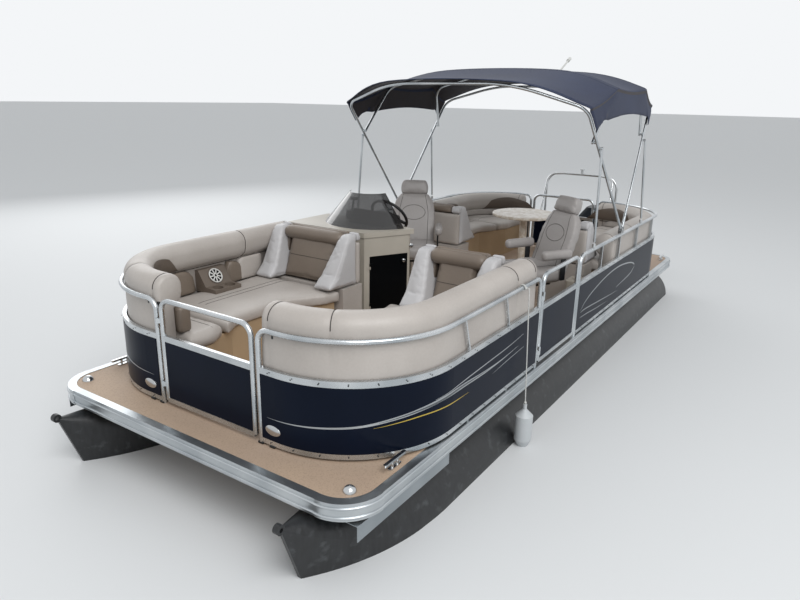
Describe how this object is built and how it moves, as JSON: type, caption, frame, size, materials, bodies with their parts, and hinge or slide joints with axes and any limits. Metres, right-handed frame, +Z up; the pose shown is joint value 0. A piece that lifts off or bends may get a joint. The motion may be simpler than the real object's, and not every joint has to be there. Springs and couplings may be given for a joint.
{
  "type": "pontoon boat",
  "caption": "Two-tube pontoon boat with a railed deck, wrap-round lounges, helm console, captain's chairs, folding bimini and an outboard motor.",
  "frame": {"origin": "on the centreline amidships, at the waterline", "axes": "+X to the bow, +Y to port, +Z up"},
  "size_m": [7.9169, 2.706, 3.3904],
  "materials": {
    "deck_vinyl": "woven-look tan deck vinyl, matt",
    "deck_frame": "mill finish",
    "rail": "bright anodised",
    "panel": "gloss navy",
    "tube_black": "satin black coating over welded sheet",
    "splash": "dull sheet",
    "vinyl_grey": "warm light grey upholstery vinyl",
    "vinyl_brown": "taupe upholstery vinyl",
    "base_tan": "rotomoulded tan plastic",
    "console_white": "off-white moulding",
    "door_black": "black sheet",
    "screen": "tinted acrylic",
    "black_plastic": "black moulding",
    "bright": "polished stainless",
    "table": "marbled cream laminate",
    "canvas": "navy woven canvas",
    "fender_vinyl": "light grey vinyl",
    "line": "white braided line",
    "motor_paint": "satin dark paint",
    "light_white": "white",
    "pod": "welded sheet"
  },
  "bodies": {
    "hull": {"tube_port": "tube_black", "tube_starboard": "tube_black", "deck_beams": "deck_frame", "deck": "deck_vinyl", "edge_rails": "rail", "corner_caps": "rail", "splash_plates": "splash", "motor_pod": "pod", "fence_bow_starboard": "rail", "fence_bow_port": "rail", "fence_aft_starboard": "rail", "fence_aft_port": "rail", "panels_port": "panel", "panels_starboard": "panel", "lounge_bases_bow": "base_tan", "lounge_bases_aft": "base_tan", "seat_pads_bow": "vinyl_grey", "seat_pads_aft": "vinyl_grey", "bolsters_bow": "vinyl_grey", "bolsters_aft": "vinyl_grey", "chaise_backs_bow": "vinyl_brown", "chaise_backs_aft": "vinyl_grey", "console": "console_white", "windscreen": "screen", "dash_pod": "black_plastic", "throttle": "black_plastic", "cup_locker": "console_white", "speaker_pod": "vinyl_brown", "chair_pedestals": "bright", "table_leg": "table", "table_top": "table", "bimini_bow_rear": "rail", "bimini_braces_rear": "rail", "bimini_mounts": "bright", "canopy": "canvas", "tow_bar": "bright", "stern_light": "light_white", "cleats": "bright", "deck_lights": "bright", "fender": "fender_vinyl", "fender_line": "line", "motor_clamp": "motor_paint"},
    "gate_front": {"gate_front": "rail", "gate_front_panel": "panel"},
    "gate_side": {"gate_side": "rail", "gate_side_panel": "panel"},
    "gate_stern": {"gate_stern": "rail", "gate_stern_panel": "panel"},
    "console_door": {"console_door": "door_black"},
    "steering_wheel": {"steering_wheel": "black_plastic"},
    "helm_chair": {"helm_chair": "vinyl_grey"},
    "port_chair": {"port_chair": "vinyl_grey"},
    "bimini_front": {"bimini_bow_front": "rail"},
    "bimini_second_front": {"bimini_second_front": "rail"},
    "bimini_braces_front": {"bimini_braces_front": "rail"},
    "bimini_second_rear": {"bimini_second_rear": "rail"},
    "motor_bracket": {"swivel_bracket": "motor_paint"},
    "motor": {"motor_leg": "motor_paint", "motor_cowl": "motor_paint"},
    "propeller": {"propeller": "motor_paint"}
  },
  "joints": [
    {"name": "gate_front_swing", "type": "hinge", "parent": "hull", "child": "gate_front", "pos_m": [3.132, -0.405, 0.5], "axis": [0, 0, -1], "range_deg": [0, 100]},
    {"name": "gate_side_swing", "type": "hinge", "parent": "hull", "child": "gate_side", "pos_m": [1.125, 1.284, 0.5], "axis": [0, 0, -1], "range_deg": [0, 100]},
    {"name": "gate_stern_swing", "type": "hinge", "parent": "hull", "child": "gate_stern", "pos_m": [-2.748, 0.385, 0.5], "axis": [0, 0, 1], "range_deg": [0, 95]},
    {"name": "console_door_swing", "type": "hinge", "parent": "hull", "child": "console_door", "pos_m": [1.13634, -0.26034, 0.8], "axis": [0, 0, -1], "range_deg": [0, 100]},
    {"name": "helm_chair_swivel", "type": "hinge", "parent": "hull", "child": "helm_chair", "pos_m": [0.01, -0.57, 0.8], "axis": [0, 0, 1], "continuous": true},
    {"name": "port_chair_swivel", "type": "hinge", "parent": "hull", "child": "port_chair", "pos_m": [0.095, 0.75, 0.8], "axis": [0, 0, 1], "continuous": true},
    {"name": "bimini_fold", "type": "hinge", "parent": "hull", "child": "bimini_front", "pos_m": [-0.77, 0, 1.222], "axis": [0, -1, 0], "range_deg": [0, 73], "deforming": ["canopy"]},
    {"name": "bimini_second_front_fold", "type": "hinge", "parent": "bimini_front", "child": "bimini_second_front", "pos_m": [0.00155, 0, 2.04074], "axis": [0, 1, 0], "range_deg": [0, 80.6]},
    {"name": "bimini_braces_fold", "type": "hinge", "parent": "bimini_front", "child": "bimini_braces_front", "pos_m": [-0.04303, 0, 1.99344], "axis": [0, 1, 0], "range_deg": [0, 39.3]},
    {"name": "bimini_second_rear_fold", "type": "hinge", "parent": "hull", "child": "bimini_second_rear", "pos_m": [-1.42909, 0, 2.0588], "axis": [0, -1, 0], "range_deg": [0, 40.6]},
    {"name": "motor_tilt", "type": "hinge", "parent": "hull", "child": "motor_bracket", "pos_m": [-3.79, 0, 0.33], "axis": [0, 1, 0], "range_deg": [0, 62]},
    {"name": "motor_steer", "type": "hinge", "parent": "motor_bracket", "child": "motor", "pos_m": [-3.865, 0, 0.16], "axis": [0, 0, 1], "range_deg": [-34, 34]},
    {"name": "steering_wheel_turn", "type": "hinge", "parent": "hull", "child": "steering_wheel", "pos_m": [0.507, -0.505, 1.321], "axis": [0.7986, 0, -0.6018], "range_deg": [-510, 510]},
    {"name": "propeller_spin", "type": "hinge", "parent": "motor", "child": "propeller", "pos_m": [-4.2, 0, -0.36], "axis": [1, 0, 0], "continuous": true}
  ],
  "couplings": [
    {"joint": "steering_wheel_turn", "follows": "motor_steer", "ratio": 15},
    {"joint": "bimini_second_front_fold", "follows": "bimini_fold", "ratio": 1.1041},
    {"joint": "bimini_braces_fold", "follows": "bimini_fold", "ratio": 0.53836},
    {"joint": "bimini_second_rear_fold", "follows": "bimini_fold", "ratio": 0.55616}
  ]
}
